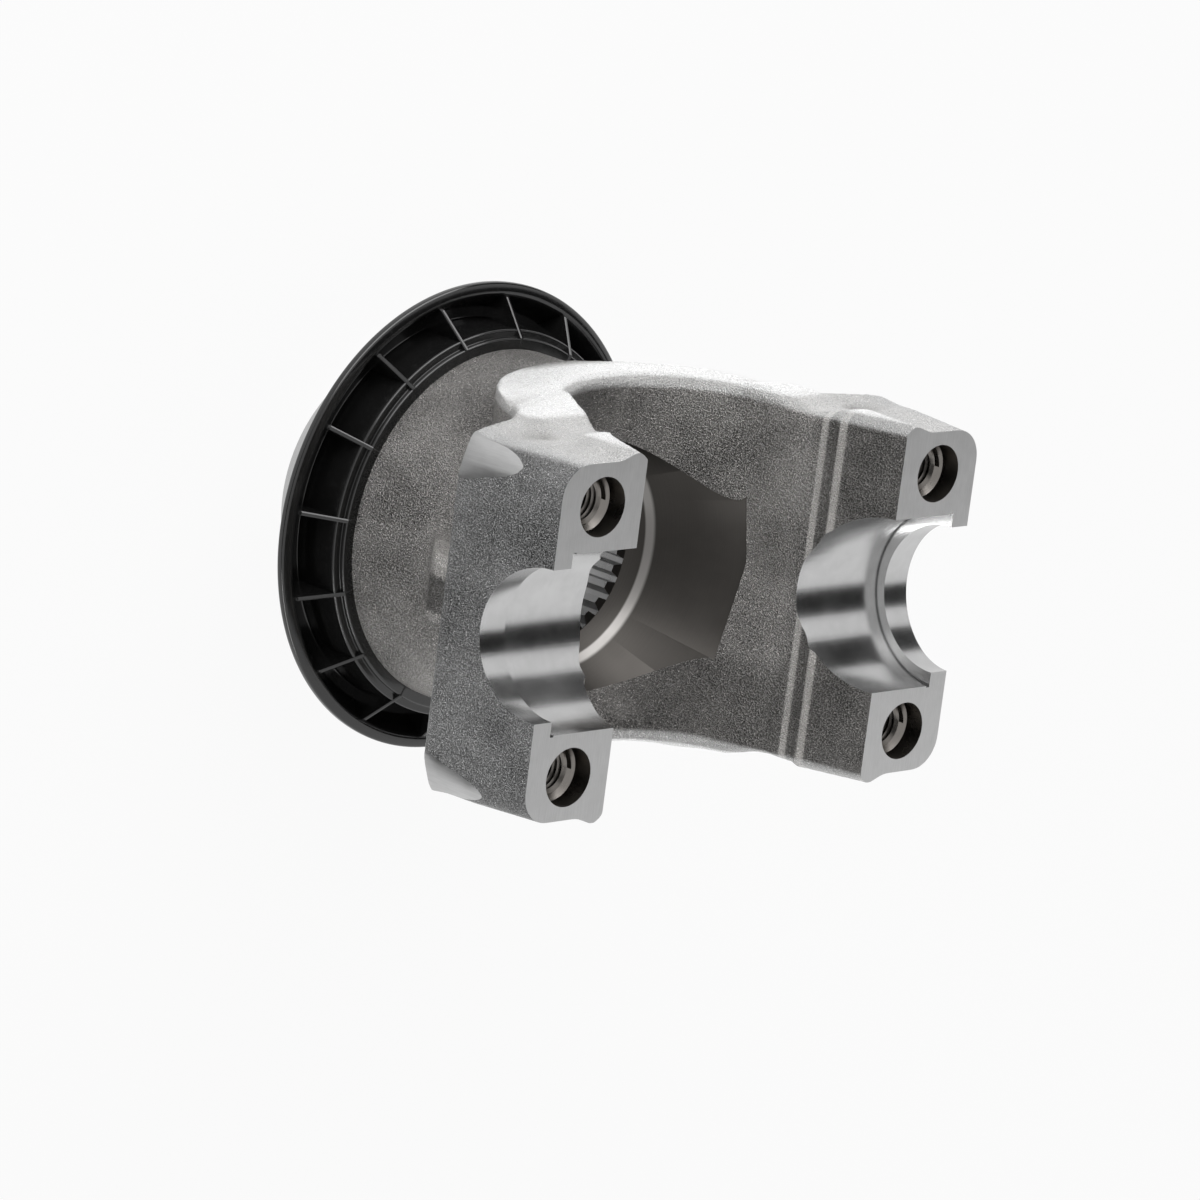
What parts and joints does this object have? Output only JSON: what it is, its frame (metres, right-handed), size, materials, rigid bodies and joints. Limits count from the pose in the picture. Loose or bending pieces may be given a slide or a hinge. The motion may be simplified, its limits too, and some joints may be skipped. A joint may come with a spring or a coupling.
{
  "type": "half-round end yoke",
  "caption": "Forged end yoke with half-round lipped saddles and tapped pads on its fork, a splined hub and a ribbed plastic dirt shield.",
  "frame": {"origin": "centre of the hub end face, under the middle of the bounding box", "axes": "+Z along the hub axis, from the hub end to the cap pads; X along the axis of the cross trunnions"},
  "size_m": [0.1892, 0.1506, 0.168],
  "materials": {
    "forged_steel": "shot-blasted forging skin with machined pads, saddles and bores",
    "black_moulding": "glossy black moulded plastic"
  },
  "bodies": {
    "root": {"end_yoke": "forged_steel", "dirt_shield": "black_moulding"}
  },
  "joints": []
}
